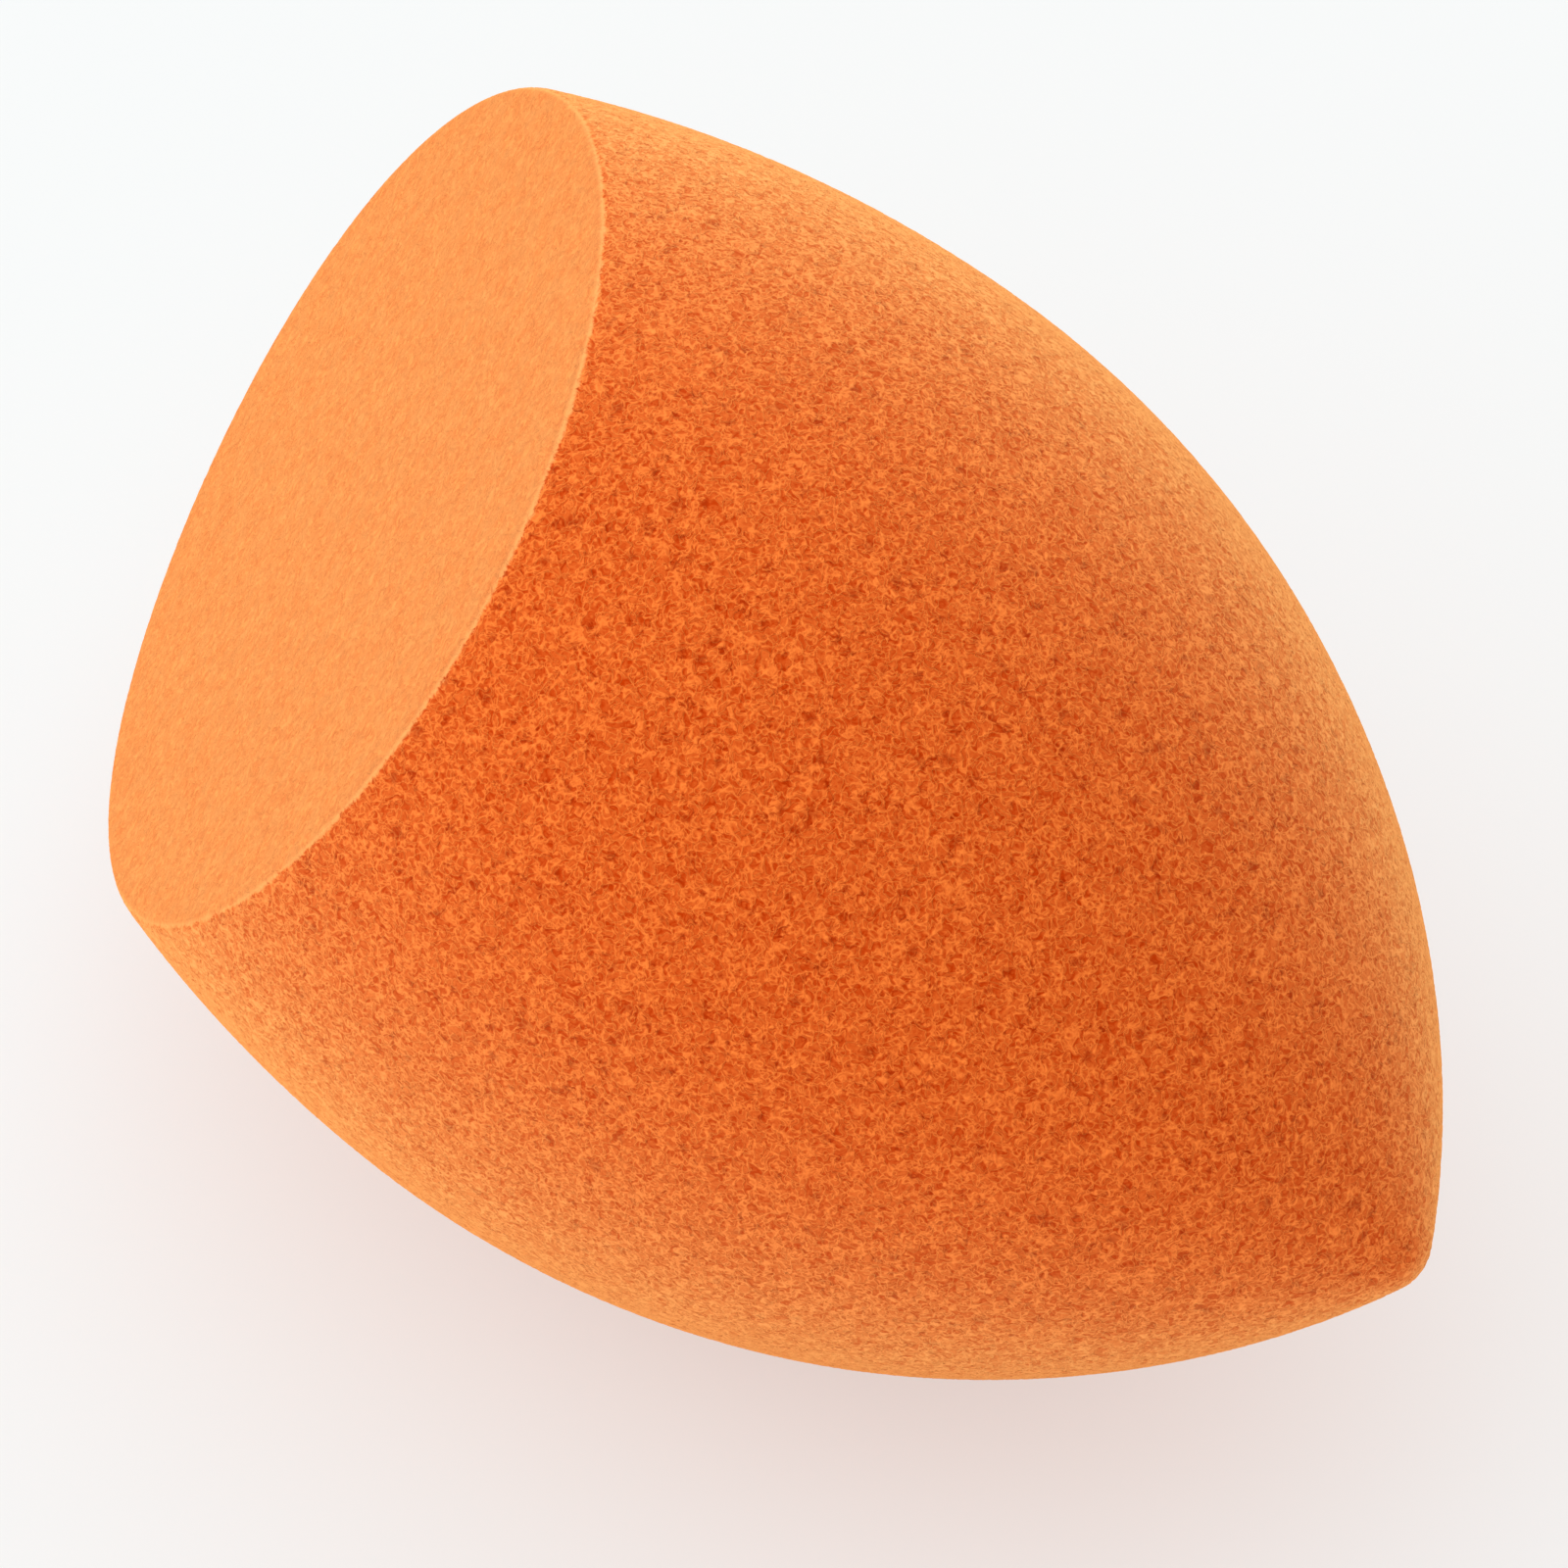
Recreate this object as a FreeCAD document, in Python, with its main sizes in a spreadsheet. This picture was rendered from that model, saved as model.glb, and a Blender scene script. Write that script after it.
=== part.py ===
# Makeup sponge: one block of open-cell foam in the shape of a drop, with a blunt tip at one end and a
# slanted flat cut at the other. Lengths are in millimetres and angles in degrees.
import FreeCAD, Part
import math
import os
import Sketcher

doc = FreeCAD.newDocument("makeup_sponge")

# Driving sizes. The belly is the widest ring of the drop, and its centre is the sponge's own origin, with
# the drop's axis along X towards the tip. The cut leans back from square by cut_slant, so that it faces
# away from the tip and up. Lying on its side, the sponge is rolled about its axis and dips its tip a little.
SIZES = {
    "belly_diameter": 40.0,
    "flank_radius": 39.4,
    "nose_radius": 2.0,
    "tail_radius": 52.0,
    "cut_slant": 40.0,
    "cut_offset": 14.6,
    "rim_rounding": 0.3,
    "lying_tilt": 7.0,
    "lying_roll": 46.2,
    "rest_depth": 0.5,
}

sheet = doc.addObject("Spreadsheet::Sheet", "sizes")
for row, (name, value) in enumerate(SIZES.items(), start=1):
    sheet.set(f"A{row}", name)
    sheet.set(f"B{row}", str(value))
    sheet.setAlias(f"B{row}", name)
doc.recompute()

belly_radius = sheet.belly_diameter / 2


def origin_plane(body, role):
    """The plane of the body's own origin that has this role."""
    return next(plane for plane in body.Origin.OriginFeatures if plane.Role == role)


def new_sketch(body, name, role):
    """An empty sketch on one of the body's origin planes."""
    sketch = body.newObject("Sketcher::SketchObject", name)
    sketch.AttachmentSupport = [(origin_plane(body, role), "")]
    sketch.MapMode = "FlatFace"
    return sketch


def bind(sketch, constraint, name, expression):
    """Add a sketch dimension and tie it to the sheet."""
    index = sketch.addConstraint(constraint)
    sketch.renameConstraint(index, name)
    sketch.setExpression(f"Constraints.{name}", expression)


def draw_half_profile(sketch):
    """Half of the drop's outline: tail arc, flank arc and nose arc above the axis, closed along it.

    The tail and flank arcs meet at the belly with their centres straight below it, so they run into each
    other without a corner, and the nose arc is tangent to the flank with its centre on the axis.
    """
    flank_radius = sheet.flank_radius
    nose_radius = sheet.nose_radius
    tail_radius = sheet.tail_radius
    flank_drop = flank_radius - belly_radius
    tail_drop = tail_radius - belly_radius
    nose_centre = math.sqrt((flank_radius - nose_radius) ** 2 - flank_drop ** 2)
    nose_start = math.atan2(flank_drop, nose_centre)
    tail_end = math.pi - math.asin(tail_drop / tail_radius)
    tail_x = -math.sqrt(tail_radius ** 2 - tail_drop ** 2)
    nose_x = nose_centre + nose_radius

    upright = FreeCAD.Vector(0, 0, 1)
    top = math.pi / 2
    tail_circle = Part.Circle(FreeCAD.Vector(0, -tail_drop, 0), upright, tail_radius)
    flank_circle = Part.Circle(FreeCAD.Vector(0, -flank_drop, 0), upright, flank_radius)
    nose_circle = Part.Circle(FreeCAD.Vector(nose_centre, 0, 0), upright, nose_radius)
    tail = sketch.addGeometry(Part.ArcOfCircle(tail_circle, top, tail_end))
    flank = sketch.addGeometry(Part.ArcOfCircle(flank_circle, nose_start, top))
    nose = sketch.addGeometry(Part.ArcOfCircle(nose_circle, 0, nose_start))
    axis = sketch.addGeometry(Part.LineSegment(FreeCAD.Vector(nose_x, 0, 0), FreeCAD.Vector(tail_x, 0, 0)))

    start, end, centre = 1, 2, 3
    across, upwards = -1, -2
    sketch.addConstraint([
        Sketcher.Constraint("Coincident", tail, start, flank, end),
        Sketcher.Constraint("Tangent", flank, start, nose, end),
        Sketcher.Constraint("Coincident", nose, start, axis, start),
        Sketcher.Constraint("Coincident", axis, end, tail, end),
        Sketcher.Constraint("PointOnObject", tail, start, upwards),
        Sketcher.Constraint("PointOnObject", tail, centre, upwards),
        Sketcher.Constraint("PointOnObject", flank, centre, upwards),
        Sketcher.Constraint("PointOnObject", nose, centre, across),
        Sketcher.Constraint("PointOnObject", axis, start, across),
        Sketcher.Constraint("PointOnObject", axis, end, across),
    ])
    belly = Sketcher.Constraint("DistanceY", across, start, tail, start, belly_radius)
    bind(sketch, belly, "belly_radius", "sizes.belly_diameter / 2")
    bind(sketch, Sketcher.Constraint("Radius", tail, tail_radius), "tail_radius", "sizes.tail_radius")
    bind(sketch, Sketcher.Constraint("Radius", flank, flank_radius), "flank_radius", "sizes.flank_radius")
    bind(sketch, Sketcher.Constraint("Radius", nose, nose_radius), "nose_radius", "sizes.nose_radius")


def draw_wide_circle(sketch):
    """A circle well past the drop's edge, for a cut that runs right across it."""
    circle = Part.Circle(FreeCAD.Vector(0, 0, 0), FreeCAD.Vector(0, 0, 1), sheet.tail_radius)
    edge = sketch.addGeometry(circle)
    centre, origin, first = 3, -1, 1
    sketch.addConstraint(Sketcher.Constraint("Coincident", edge, centre, origin, first))
    reach = Sketcher.Constraint("Radius", edge, sheet.tail_radius)
    bind(sketch, reach, "reach", "sizes.tail_radius + sizes.belly_diameter")


def cut_away(body, sketch, name):
    """Remove everything on the outer side of a sketch's plane, and check that something went."""
    doc.recompute()
    volume_before = body.Shape.Volume
    pocket = body.newObject("PartDesign::Pocket", name)
    pocket.Profile = sketch
    pocket.Type = "ThroughAll"
    doc.recompute()
    if not 0 < body.Shape.Volume < volume_before:
        raise RuntimeError(f"{name} cuts nothing from the sponge")
    return pocket


body = doc.addObject("PartDesign::Body", "sponge_body")
body.Label = "sponge_body"

# The whole drop, before it is cut: the half profile turned about the axis.
profile = new_sketch(body, "half_profile", "XZ_Plane")
draw_half_profile(profile)
drop = body.newObject("PartDesign::Revolution", "drop")
drop.Profile = profile
drop.ReferenceAxis = (profile, ["H_Axis"])
drop.Angle = 360

# The slanted cut, which takes the tail off and leaves the flat face used for broad strokes.
slant_plane = new_sketch(body, "slant_plane", "YZ_Plane")
slant_plane.setExpression("AttachmentOffset.Base.y", "sizes.cut_offset * sin(sizes.cut_slant)")
slant_plane.setExpression("AttachmentOffset.Base.z", "-sizes.cut_offset * cos(sizes.cut_slant)")
slant_plane.setExpression("AttachmentOffset.Rotation.Roll", "sizes.cut_slant")
draw_wide_circle(slant_plane)
slant_cut = cut_away(body, slant_plane, "slant_cut")

# The rim of the flat face, where the foam's cut edge is worn slightly round.
flat_face = next(face for face in slant_cut.Shape.Faces if isinstance(face.Surface, Part.Plane))
rim_edges = [
    f"Edge{number}"
    for number, edge in enumerate(slant_cut.Shape.Edges, start=1)
    if any(edge.isSame(rim) for rim in flat_face.Edges)
]
rim = body.newObject("PartDesign::Fillet", "rim")
rim.Base = (slant_cut, rim_edges)
rim.setExpression("Radius", "sizes.rim_rounding")

# The small flat where the soft foam settles under its own weight. The table's plane is as far below the
# belly's centre as the lying flank reaches, less the depth that the foam gives way.
table_plane = new_sketch(body, "table_plane", "YZ_Plane")
flank_drop = "(sizes.flank_radius - sizes.belly_diameter / 2)"
table_depth = f"(sizes.flank_radius - {flank_drop} * cos(sizes.lying_tilt) - sizes.rest_depth)"
table_direction = {
    "x": "-sin(sizes.lying_roll) * cos(sizes.lying_tilt)",
    "y": "-cos(sizes.lying_roll) * cos(sizes.lying_tilt)",
    "z": "sin(sizes.lying_tilt)",
}
for axis, share in table_direction.items():
    table_plane.setExpression(f"AttachmentOffset.Base.{axis}", f"{table_depth} * {share}")
table_plane.setExpression("AttachmentOffset.Rotation.Yaw", "-sizes.lying_roll")
table_plane.setExpression("AttachmentOffset.Rotation.Roll", "-90 - sizes.lying_tilt")
draw_wide_circle(table_plane)
cut_away(body, table_plane, "rest_flat")

# Laid on its side, with the rest flat level and the middle of the underside at the origin.
lying = FreeCAD.Rotation(0, sheet.lying_tilt, sheet.lying_roll)
belly_height = table_plane.AttachmentOffset.Base.Length
body.Placement = FreeCAD.Placement(FreeCAD.Vector(0, 0, belly_height), lying)
doc.recompute()
middle = body.Shape.optimalBoundingBox(False, False).Center
body.Placement = FreeCAD.Placement(FreeCAD.Vector(-middle.x, -middle.y, belly_height), lying)
doc.recompute()

for item in doc.Objects:
    if "Invalid" in item.State or "Error" in item.State:
        raise RuntimeError(f"{item.Label} failed to build")
if body.Shape.isNull() or not body.Shape.isValid():
    raise RuntimeError(f"{body.Label} has no valid shape")

os.makedirs("parts", exist_ok=True)
body.Shape.exportStep(f"parts/{body.Label}.step")
print(f"{body.Label}: {body.Shape.Volume / 1000:.1f} cm3, solids {len(body.Shape.Solids)}")
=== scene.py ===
import bmesh
import bpy
import math
import numpy as np
from mathutils import Matrix, Vector


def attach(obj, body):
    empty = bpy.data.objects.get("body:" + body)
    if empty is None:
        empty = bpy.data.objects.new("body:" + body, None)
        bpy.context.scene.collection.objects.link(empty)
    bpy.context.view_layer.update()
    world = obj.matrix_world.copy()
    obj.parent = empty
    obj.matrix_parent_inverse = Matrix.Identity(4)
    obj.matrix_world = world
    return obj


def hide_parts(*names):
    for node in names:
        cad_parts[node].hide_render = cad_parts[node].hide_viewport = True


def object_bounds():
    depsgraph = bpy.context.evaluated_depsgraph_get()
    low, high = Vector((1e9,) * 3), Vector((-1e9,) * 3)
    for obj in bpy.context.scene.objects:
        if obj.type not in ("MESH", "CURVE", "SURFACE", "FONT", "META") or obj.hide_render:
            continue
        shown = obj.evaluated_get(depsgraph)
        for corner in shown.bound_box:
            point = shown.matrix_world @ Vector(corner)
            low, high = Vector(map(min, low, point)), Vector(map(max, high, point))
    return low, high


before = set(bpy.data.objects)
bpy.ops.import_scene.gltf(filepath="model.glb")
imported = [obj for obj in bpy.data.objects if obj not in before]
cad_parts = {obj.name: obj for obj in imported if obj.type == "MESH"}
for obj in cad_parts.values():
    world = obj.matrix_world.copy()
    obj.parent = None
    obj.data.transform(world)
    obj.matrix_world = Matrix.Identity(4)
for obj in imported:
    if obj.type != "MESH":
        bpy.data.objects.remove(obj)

scene = bpy.context.scene
scene.view_settings.view_transform = "Standard"
cad_low, cad_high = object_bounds()


# Sponge body, the form. The real piece is one block of polyurethane foam, foamed up in a drop-shaped mould
# and then cut across at a slant. Soft foam doesn't cut quite true, so the flat is domed and twisted by a
# few tenths of a millimetre, its rim is slightly round, and the tip leans a little to one side.
MM = 0.001
BELLY_RADIUS = 20.0
FLANK_RADIUS = 39.4
NOSE_RADIUS = 2.0
TAIL_RADIUS = 52.0
CUT_SLANT = math.radians(40.0)
CUT_OFFSET = 14.6
CUT_RAISE, CUT_LEAN, CUT_TWIST, CUT_DOME = 0.31, 0.11, 0.36, 0.27
CUT_HALF_WIDTH, CUT_HALF_LENGTH, CUT_MIDDLE = 17, 20, -5
RIM_ROUNDING = 0.3
TIP_LEAN = 0.2
LEAN_START, LEAN_END = 16, 37
LYING_TILT = math.radians(7.0)
LYING_ROLL = math.radians(46.2)
REST_DEPTH = 0.5
SKIN_SPACING = 0.12
SKIN_ROUNDS, SETTLING_STEPS = 2, 4

lying = np.array(Matrix.Rotation(LYING_TILT, 3, "Y") @ Matrix.Rotation(LYING_ROLL, 3, "X"))
flank_drop = FLANK_RADIUS - BELLY_RADIUS
tail_drop = TAIL_RADIUS - BELLY_RADIUS
nose_centre = math.sqrt((FLANK_RADIUS - NOSE_RADIUS) ** 2 - flank_drop ** 2)
belly_x = cad_high[0] / MM - NOSE_RADIUS - nose_centre * math.cos(LYING_TILT)
belly_z = FLANK_RADIUS - flank_drop * math.cos(LYING_TILT) - REST_DEPTH
belly_centre = np.array([belly_x, 0.0, belly_z])


def rise(value, low, high):
    """0 below low, 1 above high, and an even curve between."""
    share = np.clip((value - low) / (high - low), 0, 1)
    return share * share * (3 - 2 * share)


def past_cut(place):
    """How far each place is past the slanted cut, in millimetres."""
    along, across, up = ((place - belly_centre) @ lying).T
    side = across / CUT_HALF_WIDTH
    down = (math.sin(CUT_SLANT) * along + math.cos(CUT_SLANT) * up - CUT_MIDDLE) / CUT_HALF_LENGTH
    warp = CUT_RAISE - CUT_LEAN * side - CUT_TWIST * side * down - CUT_DOME * down * down
    return math.sin(CUT_SLANT) * up - math.cos(CUT_SLANT) * along - CUT_OFFSET - warp


def past_skin(place):
    """How far each place is outside the drop with its cut and rounded rim, in millimetres."""
    along, across, up = ((place - belly_centre) @ lying).T
    off_axis = np.hypot(across - TIP_LEAN * rise(along, LEAN_START, LEAN_END), up)
    tail = np.hypot(along, off_axis + tail_drop) - TAIL_RADIUS
    flank = np.hypot(along, off_axis + flank_drop) - FLANK_RADIUS
    nose = np.hypot(along - nose_centre, off_axis) - NOSE_RADIUS
    at_nose = (along > nose_centre) & ((along - nose_centre) * flank_drop > off_axis * nose_centre)
    drop = np.where(along < 0, tail, np.where(at_nose, nose, flank))
    cut = past_cut(place)
    corner = np.hypot(np.maximum(drop + RIM_ROUNDING, 0), np.maximum(cut + RIM_ROUNDING, 0))
    rounded = np.minimum(np.maximum(drop, cut), -RIM_ROUNDING) + corner
    return np.maximum(rounded, -place[:, 2])


def outwards(place, step=0.002):
    """The direction straight out of the skin at each place."""
    slope = [past_skin(place + move) - past_skin(place - move) for move in np.eye(3) * step]
    slope = np.stack(slope, 1)
    return slope / np.maximum(np.linalg.norm(slope, axis=1, keepdims=True), 1e-9)


# The solid's own mesh, copied, made of even faces and settled on to the form.
cad_skin = bmesh.new()
cad_skin.from_mesh(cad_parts["sponge_body"].data)
bmesh.ops.remove_doubles(cad_skin, verts=cad_skin.verts, dist=1e-6)
cad_form = bpy.data.meshes.new("cad_form")
cad_skin.to_mesh(cad_form)
cad_skin.free()
form = bpy.data.objects.new("form", cad_form)
scene.collection.objects.link(form)
even_skin = form.modifiers.new("even_skin", "REMESH")
even_skin.mode = "VOXEL"
even_skin.voxel_size = SKIN_SPACING * MM
for _ in range(SKIN_ROUNDS):
    skin = bpy.data.meshes.new_from_object(form.evaluated_get(bpy.context.evaluated_depsgraph_get()))
    place = np.empty(len(skin.vertices) * 3)
    skin.vertices.foreach_get("co", place)
    place = place.reshape(-1, 3) / MM
    for _ in range(SETTLING_STEPS):
        place -= outwards(place) * past_skin(place)[:, None]
    skin.vertices.foreach_set("co", (place * MM).ravel())
    skin.update()
    form.data = skin
bpy.data.objects.remove(form)
skin.polygons.foreach_set("use_smooth", np.ones(len(skin.polygons), bool))
skin.update()

# The share of the cut face at each point, 1 on the flat and 0 on the moulded drop.
cut_face = skin.attributes.new("cut_face", "FLOAT", "POINT")
cut_face.data.foreach_set("value", rise(past_cut(place), -RIM_ROUNDING, 0.0).astype(np.float32))

# A flat map of the skin, for keeping its colours in a picture: six views, from each side of the box, laid
# out in two columns. The drop bulges everywhere, so no view has one part in front of another.
MAP_MARGIN, MAP_COLUMN, MAP_ROW, MAP_SIDE = 1, 65, 42, 130
corner_points = np.empty(len(skin.loops), np.int32)
skin.loops.foreach_get("vertex_index", corner_points)
face_normal = np.empty(len(skin.polygons) * 3)
skin.polygons.foreach_get("normal", face_normal)
face_normal = face_normal.reshape(-1, 3)
face_axis = np.abs(face_normal).argmax(1)
face_back = face_normal[np.arange(len(face_axis)), face_axis] < 0
face_corners = np.empty(len(skin.polygons), np.int32)
skin.polygons.foreach_get("loop_total", face_corners)
corner_axis = np.repeat(face_axis, face_corners)
corner_back = np.repeat(face_back, face_corners)
corner_place = place[corner_points] - place.min(0)
corner_map = np.empty((len(skin.loops), 2), np.float32)
for axis, (across, upwards) in enumerate([(1, 2), (0, 2), (0, 1)]):
    chosen = corner_axis == axis
    corner_map[chosen, 0] = MAP_MARGIN + corner_place[chosen, across] + MAP_COLUMN * corner_back[chosen]
    corner_map[chosen, 1] = MAP_MARGIN + corner_place[chosen, upwards] + MAP_ROW * axis
skin.uv_layers.new(name="OFBake").data.foreach_set("uv", (corner_map / MAP_SIDE).ravel())

sponge = bpy.data.objects.new("foam_sponge", skin)
scene.collection.objects.link(sponge)


# Sponge body, the foam. Open-cell polyurethane is a froth of bubbles that burst into each other: a tangle
# of thin curved walls stands round pits of mixed sizes, most of them 0.15 to 0.5 mm across, and here and
# there a larger bubble has burst at the skin. The walls stay level with it, and the rest goes in.
FROTH_SIZE, FROTH_DEPTH = 0.3, 0.03
FROTH_PIT, FROTH_WALL = 0.32, 0.68
PORE_SPACING, PORE_SIZE, PORE_DEPTH, PORE_RAGGED = 0.55, 0.3, 0.025, 1.4
BURST_SPACING, BURST_SIZE, BURST_DEPTH, BURST_RAGGED = 0.85, 0.28, 0.02, 0.6
BUBBLE_SHAKE = 0.8
BUBBLE_CORE, BUBBLE_EDGE = 0.7, 1.6
CUT_FACE_DEPTH = 0.4
SEED = 7.0


def add(tree, kind, links=(), **settings):
    """Add a node with its settings, link or set its named or numbered inputs, and give its outputs."""
    node = tree.nodes.new(kind)
    for name, value in settings.items():
        setattr(node, name, value)
    for name, value in dict(links).items():
        if isinstance(value, bpy.types.NodeSocket):
            tree.links.new(value, node.inputs[name])
        else:
            node.inputs[name].default_value = value
    return node.outputs


def scaled(tree, place, size, seed):
    """A place counted in sizes and moved along by the seed."""
    scale = add(tree, "ShaderNodeMath", {0: 1.0, 1: size}, operation="DIVIDE")[0]
    unit = add(tree, "ShaderNodeVectorMath", {0: place, "Scale": scale}, operation="SCALE")[0]
    return add(tree, "ShaderNodeVectorMath", {0: unit, 1: seed}, operation="ADD")[0]


def froth(tree, place, size, detail, seed):
    """The tangle of walls round bubbles of mixed sizes: 0 deep between them and 1 on top of a wall."""
    unit = scaled(tree, place, size, seed)
    tangle = add(tree, "ShaderNodeTexNoise", {"Vector": unit, "Scale": 1.0, "Detail": detail,
                                              "Roughness": 0.65, "Distortion": 1.5})[0]
    return add(tree, "ShaderNodeMapRange", {"Value": tangle, "From Min": FROTH_PIT,
                                            "From Max": FROTH_WALL})[0]


def pores(tree, place, walls, ragged, spacing, size, seed):
    """The larger bubbles, some wider than others and ragged with walls: 1 in each and 0 outside."""
    unit = scaled(tree, place, spacing, seed)
    noise = add(tree, "ShaderNodeTexNoise", {"Vector": unit, "Scale": 1.0, "Detail": 1.0})["Color"]
    either = add(tree, "ShaderNodeVectorMath", {0: noise, 1: (0.5, 0.5, 0.5)}, operation="SUBTRACT")[0]
    shaken = add(tree, "ShaderNodeVectorMath", {0: either, 1: [BUBBLE_SHAKE] * 3, 2: unit},
                 operation="MULTIPLY_ADD")[0]
    bubble = add(tree, "ShaderNodeTexVoronoi", {"Vector": shaken, "Scale": 1.0})
    luck = add(tree, "ShaderNodeSeparateXYZ", {0: bubble["Color"]})[0]
    share = add(tree, "ShaderNodeMath", {0: luck, 1: 2.0}, operation="POWER")[0]
    most = add(tree, "ShaderNodeMath", {0: size, 1: spacing}, operation="DIVIDE")[0]
    radius = add(tree, "ShaderNodeMath", {0: share, 1: most}, operation="MULTIPLY")[0]
    radii = add(tree, "ShaderNodeMath", {0: bubble["Distance"], 1: radius}, operation="DIVIDE")[0]
    edge = add(tree, "ShaderNodeMath", {0: walls, 1: ragged, 2: radii}, operation="MULTIPLY_ADD")[0]
    return add(tree, "ShaderNodeMapRange", {"Value": edge, "From Min": BUBBLE_CORE, "From Max": BUBBLE_EDGE,
                                            "To Min": 1.0, "To Max": 0.0})[0]


foam = bpy.data.node_groups.new("open_cells", "GeometryNodeTree")
foam.is_modifier = True
foam.interface.new_socket("Geometry", in_out="INPUT", socket_type="NodeSocketGeometry")
foam.interface.new_socket("Geometry", in_out="OUTPUT", socket_type="NodeSocketGeometry")
foam_inputs = {
    "Froth Size": FROTH_SIZE * MM,
    "Froth Depth": FROTH_DEPTH * MM,
    "Pore Spacing": PORE_SPACING * MM,
    "Pore Size": PORE_SIZE * MM,
    "Pore Depth": PORE_DEPTH * MM,
    "Burst Spacing": BURST_SPACING * MM,
    "Burst Size": BURST_SIZE * MM,
    "Burst Depth": BURST_DEPTH * MM,
    "Cut Face Depth": CUT_FACE_DEPTH,
    "Seed": SEED,
}
sockets = {
    name: foam.interface.new_socket(name, in_out="INPUT", socket_type="NodeSocketFloat")
    for name in foam_inputs
}
sockets["Foam"] = foam.interface.new_socket("Foam", in_out="INPUT", socket_type="NodeSocketMaterial")
given = add(foam, "NodeGroupInput")
position = add(foam, "GeometryNodeInputPosition")[0]
normal = add(foam, "GeometryNodeInputNormal")[0]
cut_share = add(foam, "GeometryNodeInputNamedAttribute", {"Name": "cut_face"})[0]
walls = froth(foam, position, given["Froth Size"], 1.0, given["Seed"])
pore = pores(foam, position, walls, PORE_RAGGED, given["Pore Spacing"], given["Pore Size"], given["Seed"])
burst = pores(foam, position, walls, BURST_RAGGED, given["Burst Spacing"], given["Burst Size"], given["Seed"])
hollow = add(foam, "ShaderNodeMath", {0: 1.0, 1: walls}, operation="SUBTRACT")[0]
depth = add(foam, "ShaderNodeMath", {0: hollow, 1: given["Froth Depth"]}, operation="MULTIPLY")[0]
for bubble, bubble_depth in [(pore, given["Pore Depth"]), (burst, given["Burst Depth"])]:
    depth = add(foam, "ShaderNodeMath", {0: bubble, 1: bubble_depth, 2: depth}, operation="MULTIPLY_ADD")[0]
kept = add(foam, "ShaderNodeMix", {0: cut_share, 2: 1.0, 3: given["Cut Face Depth"]})[0]
inwards = add(foam, "ShaderNodeMath", {0: depth, 1: kept}, operation="MULTIPLY")[0]
inwards = add(foam, "ShaderNodeMath", {0: inwards, 1: -1.0}, operation="MULTIPLY")[0]
offset = add(foam, "ShaderNodeVectorMath", {0: normal, "Scale": inwards}, operation="SCALE")[0]
foamed = given["Geometry"]
for name, value in [("foam_place", position), ("skin_normal", normal)]:
    foamed = add(foam, "GeometryNodeStoreNamedAttribute", {"Geometry": foamed, "Name": name, "Value": value},
                 data_type="FLOAT_VECTOR", domain="POINT")[0]
foamed = add(foam, "GeometryNodeSetPosition", {"Geometry": foamed, "Offset": offset})[0]
foamed = add(foam, "GeometryNodeRealizeInstances", {"Geometry": foamed})[0]
foamed = add(foam, "GeometryNodeSetMaterial", {"Geometry": foamed, "Material": given["Foam"]})[0]
add(foam, "NodeGroupOutput", {"Geometry": foamed})

# Open-cell polyurethane foam, dyed through and left as it came from the mould. Its thin strands scatter
# light and look pale and dry, with a soft sheen at a glancing angle that is painted into the colour, and its
# pits are painted dark and red: painted shade for light that comes back out of them only after several
# bounces between orange walls.
WALL = "#FF8438"
# The pit and hole colours are painted shade: the foam painted darker and redder in its pits and burst
# bubbles.
PIT_SHADE = "#BE3400"
HOLE_SHADE = "#A42600"
CUT = "#CF854C"
# The painted sheen colour, mixed into the colour at a glancing angle and as the painted highlight on the rim.
PAINTED_SHEEN = "#FFAE66"
SHEEN_TINT = "#FFB460"
STRAND_SPACING, STRAND_HALF_WIDTH = 0.3, 0.072
THICK_STRANDS_APART = 1.35
GROUND_LEVEL, WALL_LEVEL, STRAND_LEVEL = 0.03, 0.46, 0.58
BURST_SHOWS = 0.85
# How much painted shade goes into the holes, on the drop and on the cut face.
HOLE_SHARE, HOLE_SHARE_ON_CUT = 0.7, 0.15
CUT_MOTTLE = 0.8
CUT_EVENNESS_LEAST, CUT_EVENNESS_MOST = 0.5, 0.8
EDGE_WALLS, EDGE_MOTTLE, EDGE_START, EDGE_END = 0.35, 0.6, 0.85, 1.15
# RIM_SHARE and RIM_END shape the painted highlight along the flat's rounded rim.
RIM_SHARE, RIM_END = 0.6, 0.75
# The shape of the painted sheen: how fast it falls off, and how much of it the pits, strands and flat get.
SHEEN_POWER, SHEEN_IN_PITS, SHEEN_ON_STRANDS, SHEEN_ON_CUT = 1.75, 0.35, 2.2, 0.3
GRAIN_DEPTH = 0.03


def linear(hex_colour):
    """An sRGB hex colour as linear red, green, blue and full alpha."""
    parts = [int(hex_colour[i:i + 2], 16) / 255 for i in (1, 3, 5)]
    return [c / 12.92 if c <= 0.04045 else ((c + 0.055) / 1.055) ** 2.4 for c in parts] + [1.0]


def strands(tree, place, spacing, seed):
    """Thin curved strands of foam: 1 along the middle of each and 0 between them."""
    unit = scaled(tree, place, spacing, seed)
    tangle = add(tree, "ShaderNodeTexNoise", {"Vector": unit, "Scale": 1.0, "Detail": 0.0,
                                              "Distortion": 0.8})[0]
    off_middle = add(tree, "ShaderNodeMath", {0: tangle, 1: 0.5}, operation="SUBTRACT")[0]
    off_middle = add(tree, "ShaderNodeMath", {0: off_middle}, operation="ABSOLUTE")[0]
    return add(tree, "ShaderNodeMapRange", {"Value": off_middle, "From Min": 0.0,
                                            "From Max": STRAND_HALF_WIDTH, "To Min": 1.0, "To Max": 0.0})[0]


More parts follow.
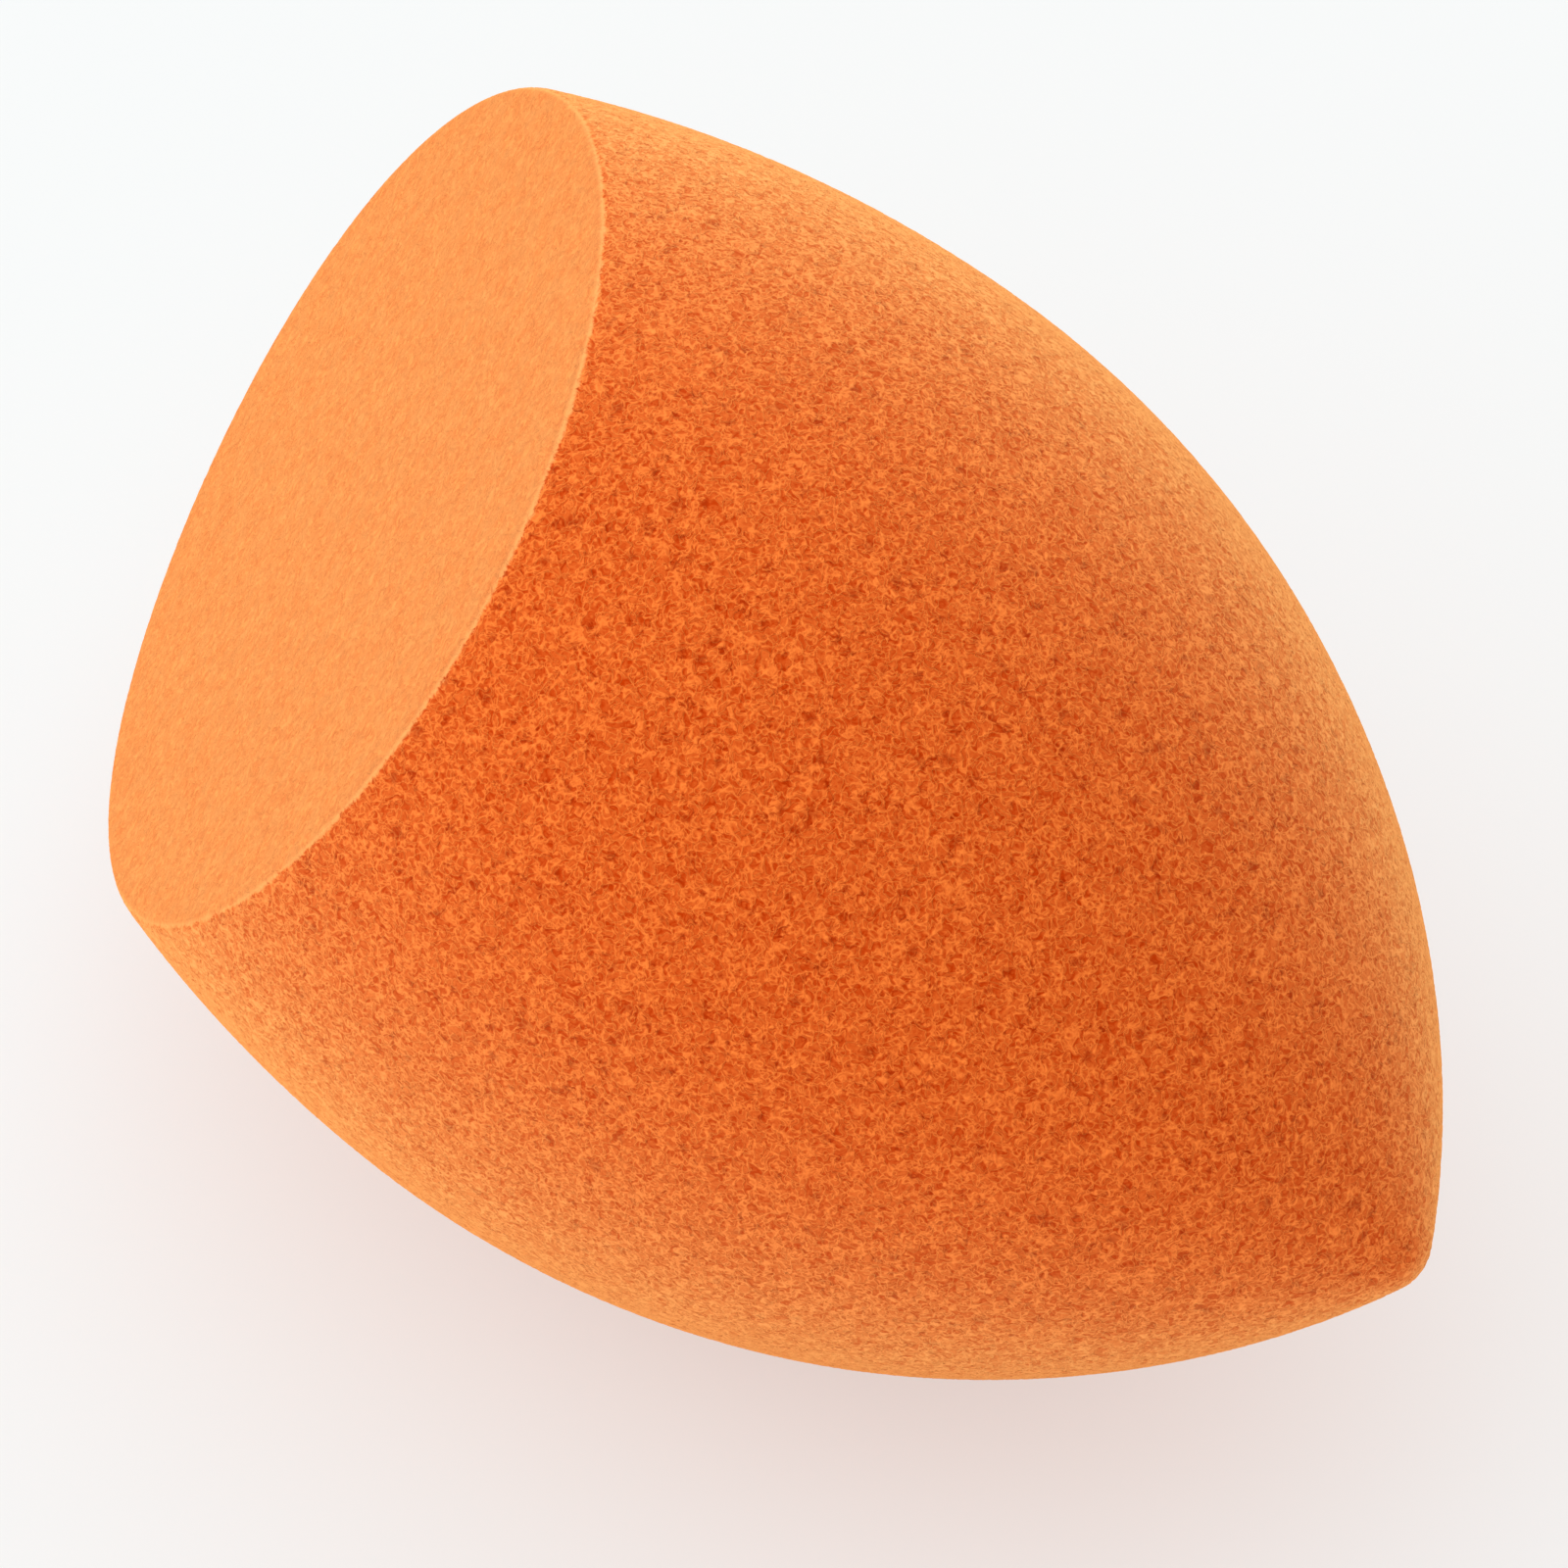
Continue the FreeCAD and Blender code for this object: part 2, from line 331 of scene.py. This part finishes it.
polyurethane = bpy.data.materials.new("open_cell_polyurethane_foam")
polyurethane.use_nodes = True
look = polyurethane.node_tree
look.nodes.clear()
foam_place = add(look, "ShaderNodeAttribute", attribute_name="foam_place")["Vector"]
seed = [SEED] * 3
thin = strands(look, foam_place, STRAND_SPACING * MM, seed)
thick = strands(look, foam_place, THICK_STRANDS_APART * STRAND_SPACING * MM, [-SEED] * 3)
strand = add(look, "ShaderNodeMath", {0: thin, 1: thick}, operation="MAXIMUM")[0]
walls = froth(look, foam_place, FROTH_SIZE * MM, 2.0, seed)
level = add(look, "ShaderNodeMath", {0: walls, 1: WALL_LEVEL, 2: GROUND_LEVEL}, operation="MULTIPLY_ADD")[0]
level = add(look, "ShaderNodeMath", {0: strand, 1: STRAND_LEVEL, 2: level}, operation="MULTIPLY_ADD",
            use_clamp=True)[0]
pore = pores(look, foam_place, walls, PORE_RAGGED, PORE_SPACING * MM, PORE_SIZE * MM, seed)
burst = pores(look, foam_place, walls, BURST_RAGGED, BURST_SPACING * MM, BURST_SIZE * MM, seed)
burst = add(look, "ShaderNodeMath", {0: burst, 1: BURST_SHOWS}, operation="MULTIPLY")[0]
hole = add(look, "ShaderNodeMath", {0: pore, 1: burst}, operation="MAXIMUM")[0]

# The cut face is evener and paler than the moulded drop, with a ragged edge, and its rounded rim is painted
# pale, a painted highlight.
near_flat = add(look, "ShaderNodeAttribute", attribute_name="cut_face")["Fac"]
mottle = scaled(look, foam_place, CUT_MOTTLE * MM, seed)
mottle = add(look, "ShaderNodeTexNoise", {"Vector": mottle, "Scale": 1.0, "Detail": 1.0})[0]
on_flat = near_flat
for pattern, share in [(walls, EDGE_WALLS), (mottle, EDGE_MOTTLE)]:
    on_flat = add(look, "ShaderNodeMath", {0: pattern, 1: share, 2: on_flat}, operation="MULTIPLY_ADD")[0]
on_flat = add(look, "ShaderNodeMapRange", {"Value": on_flat, "From Min": EDGE_START,
                                           "From Max": EDGE_END})[0]
evenness = add(look, "ShaderNodeMapRange", {"Value": mottle, "From Min": 0.3, "From Max": 0.7,
                                            "To Min": CUT_EVENNESS_LEAST,
                                            "To Max": CUT_EVENNESS_MOST})[0]
evenness = add(look, "ShaderNodeMath", {0: on_flat, 1: evenness}, operation="MULTIPLY")[0]
# The painted highlight on the rim: the rounded edge of the flat is painted pale with the sheen colour.
rim = add(look, "ShaderNodeMapRange", {"Value": near_flat, "From Min": 1.0, "From Max": RIM_END,
                                       "To Max": RIM_SHARE})[0]
rim = add(look, "ShaderNodeMath", {0: rim, 1: on_flat}, operation="MULTIPLY")[0]
# The share of painted shade in the pores and burst bubbles, less of it on the flat.
hole_shade = add(look, "ShaderNodeMapRange", {"Value": on_flat, "To Min": HOLE_SHARE,
                                           "To Max": HOLE_SHARE_ON_CUT})[0]
hole_shade = add(look, "ShaderNodeMath", {0: hole_shade, 1: hole}, operation="MULTIPLY")[0]

# A painted sheen: the colour is painted paler at a glancing angle to the skin, more of it on the strands
# than in the pits, less on the flat.
skin_normal = add(look, "ShaderNodeAttribute", attribute_name="skin_normal")["Vector"]
skin_normal = add(look, "ShaderNodeVectorTransform", {0: skin_normal}, vector_type="NORMAL",
                  convert_from="OBJECT", convert_to="WORLD")[0]
painted_sheen = add(look, "ShaderNodeLayerWeight", {"Blend": 0.5, "Normal": skin_normal})["Facing"]
painted_sheen = add(look, "ShaderNodeMath", {0: painted_sheen, 1: SHEEN_POWER}, operation="POWER")[0]
on_strands = add(look, "ShaderNodeMapRange", {"Value": level, "To Min": SHEEN_IN_PITS,
                                              "To Max": SHEEN_ON_STRANDS})[0]
painted_sheen = add(look, "ShaderNodeMath", {0: painted_sheen, 1: on_strands}, operation="MULTIPLY")[0]
on_drop = add(look, "ShaderNodeMapRange", {"Value": near_flat, "To Min": 1.0, "To Max": SHEEN_ON_CUT})[0]
painted_sheen = add(look, "ShaderNodeMath", {0: painted_sheen, 1: on_drop}, operation="MULTIPLY", use_clamp=True)[0]

# Painted shade darkens the pits and holes, and a painted sheen pales the rim and the skin at a glancing
# angle; the strands and the flat keep the foam's own colours.
foam_colour = linear(PIT_SHADE)
for share, colour in [(level, WALL), (hole_shade, HOLE_SHADE), (evenness, CUT), (rim, PAINTED_SHEEN), (painted_sheen, PAINTED_SHEEN)]:
    foam_colour = add(look, "ShaderNodeMix", {0: share, 6: foam_colour, 7: linear(colour)},
                      data_type="RGBA")[2]
grain = add(look, "ShaderNodeBump", {"Height": level, "Distance": GRAIN_DEPTH * MM})[0]
surface = add(look, "ShaderNodeBsdfPrincipled", {
    "Base Color": foam_colour,
    "Roughness": 0.95,
    "Specular IOR Level": 0.0,
    "Sheen Weight": 0.4,
    "Sheen Roughness": 0.45,
    "Sheen Tint": linear(SHEEN_TINT),
    "Normal": grain,
})[0]
add(look, "ShaderNodeOutputMaterial", {"Surface": surface})

cells_on = sponge.modifiers.new("open_cells", "NODES")
cells_on.node_group = foam
for name, value in foam_inputs.items():
    cells_on[sockets[name].identifier] = value
cells_on[sockets["Foam"].identifier] = polyurethane
foamed_skin = bpy.data.meshes.new_from_object(sponge.evaluated_get(bpy.context.evaluated_depsgraph_get()))
sponge.modifiers.remove(cells_on)
sponge.data = foamed_skin
foamed_skin.name = "foam_sponge"
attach(sponge, "root")
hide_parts("sponge_body")


# Floor, light and camera. The sponge lies on a white sheet in soft light from all round, a little more
# of it from the left, and the camera looks down on it from in front and to the right of its tip.
FLOOR_REACH = 3.0
floor_mesh = bpy.data.meshes.new("floor")
floor_corners = [(x * FLOOR_REACH, y * FLOOR_REACH, 0) for x, y in [(-1, -1), (1, -1), (1, 1), (-1, 1)]]
floor_mesh.from_pydata(floor_corners, [], [(0, 1, 2, 3)])
floor = bpy.data.objects.new("floor", floor_mesh)
scene.collection.objects.link(floor)

# Matt white paper. Looked at, it is partly its own even white, so that the shadow on it stays pale, and
# its shaded part and its even white differ in hue, so that the shadow on it is painted warm, a painted glow
# of the orange light the sponge throws on it. Light that bounces off it on to the sponge is painted warm too.
# The paper's colour for light bouncing off it, a warm off-white: a painted warm bounce.
PAPER_WARM_BOUNCE = "#F8ECE2"
# The shaded and glow colours differ in hue so that the shadow on the paper is painted warm.
PAPER_SHADED = "#87A0A6"
PAPER_GLOW = "#D2C1BB"
paper = bpy.data.materials.new("white_paper")
paper.use_nodes = True
paper_tree = paper.node_tree
paper_tree.nodes.clear()


def looked_at(tree):
    """1 for what the camera, a gloss or a clear piece looks at, and 0 for light on its way."""
    rays = add(tree, "ShaderNodeLightPath")
    seen = rays["Is Camera Ray"]
    for kind in ("Is Glossy Ray", "Is Transmission Ray"):
        seen = add(tree, "ShaderNodeMath", {0: seen, 1: rays[kind]}, operation="MAXIMUM")[0]
    return seen


matt = add(paper_tree, "ShaderNodeBsdfDiffuse", {"Color": linear(PAPER_WARM_BOUNCE)})[0]
shaded = add(paper_tree, "ShaderNodeBsdfDiffuse", {"Color": linear(PAPER_SHADED)})[0]
glow = add(paper_tree, "ShaderNodeEmission", {"Color": linear(PAPER_GLOW), "Strength": 1.0})[0]
lifted = add(paper_tree, "ShaderNodeAddShader", {0: shaded, 1: glow})[0]
sheet = add(paper_tree, "ShaderNodeMixShader", {0: looked_at(paper_tree), 1: matt, 2: lifted})[0]
add(paper_tree, "ShaderNodeOutputMaterial", {"Surface": sheet})
floor_mesh.materials.append(paper)

BACKDROP = "#F8F8F7"
LIGHT_LEVEL = 1.145
LIGHT_SLOPE = 0.72
LIGHT_FROM = (-0.98, -0.09, 0.16)
world = bpy.data.worlds.new("soft_studio")
scene.world = world
world.use_nodes = True
sky = world.node_tree
sky.nodes.clear()
towards = add(sky, "ShaderNodeTexCoord")["Generated"]
facing = add(sky, "ShaderNodeVectorMath", {0: towards, 1: LIGHT_FROM}, operation="DOT_PRODUCT")["Value"]
soft = add(sky, "ShaderNodeMath", {0: facing, 1: LIGHT_LEVEL * LIGHT_SLOPE, 2: LIGHT_LEVEL},
           operation="MULTIPLY_ADD")[0]
around = add(sky, "ShaderNodeBackground", {"Color": (1, 1, 1, 1), "Strength": soft})[0]
backdrop = add(sky, "ShaderNodeBackground", {"Color": linear(BACKDROP), "Strength": 1.0})[0]
studio = add(sky, "ShaderNodeMixShader", {0: looked_at(sky), 1: around, 2: backdrop})[0]
add(sky, "ShaderNodeOutputWorld", {"Surface": studio})

PHOTO_WIDTH = 1600
FOCAL_PIXELS = 11020.7
camera = bpy.data.objects.new("camera", bpy.data.cameras.new("camera"))
scene.collection.objects.link(camera)
scene.camera = camera
camera.data.sensor_width = 36.0
camera.data.lens = camera.data.sensor_width * FOCAL_PIXELS / PHOTO_WIDTH
right = Vector((0.75697, 0.65345, -0.00022))
up = Vector((-0.48996, 0.56780, 0.66147))
back = Vector((0.43236, -0.50060, 0.74997))
camera.location = (0.1735861, -0.1993353, 0.3185913)
camera.rotation_euler = Matrix((right, up, back)).transposed().to_euler()
camera.data.clip_start = 0.01
camera.data.clip_end = 50.0
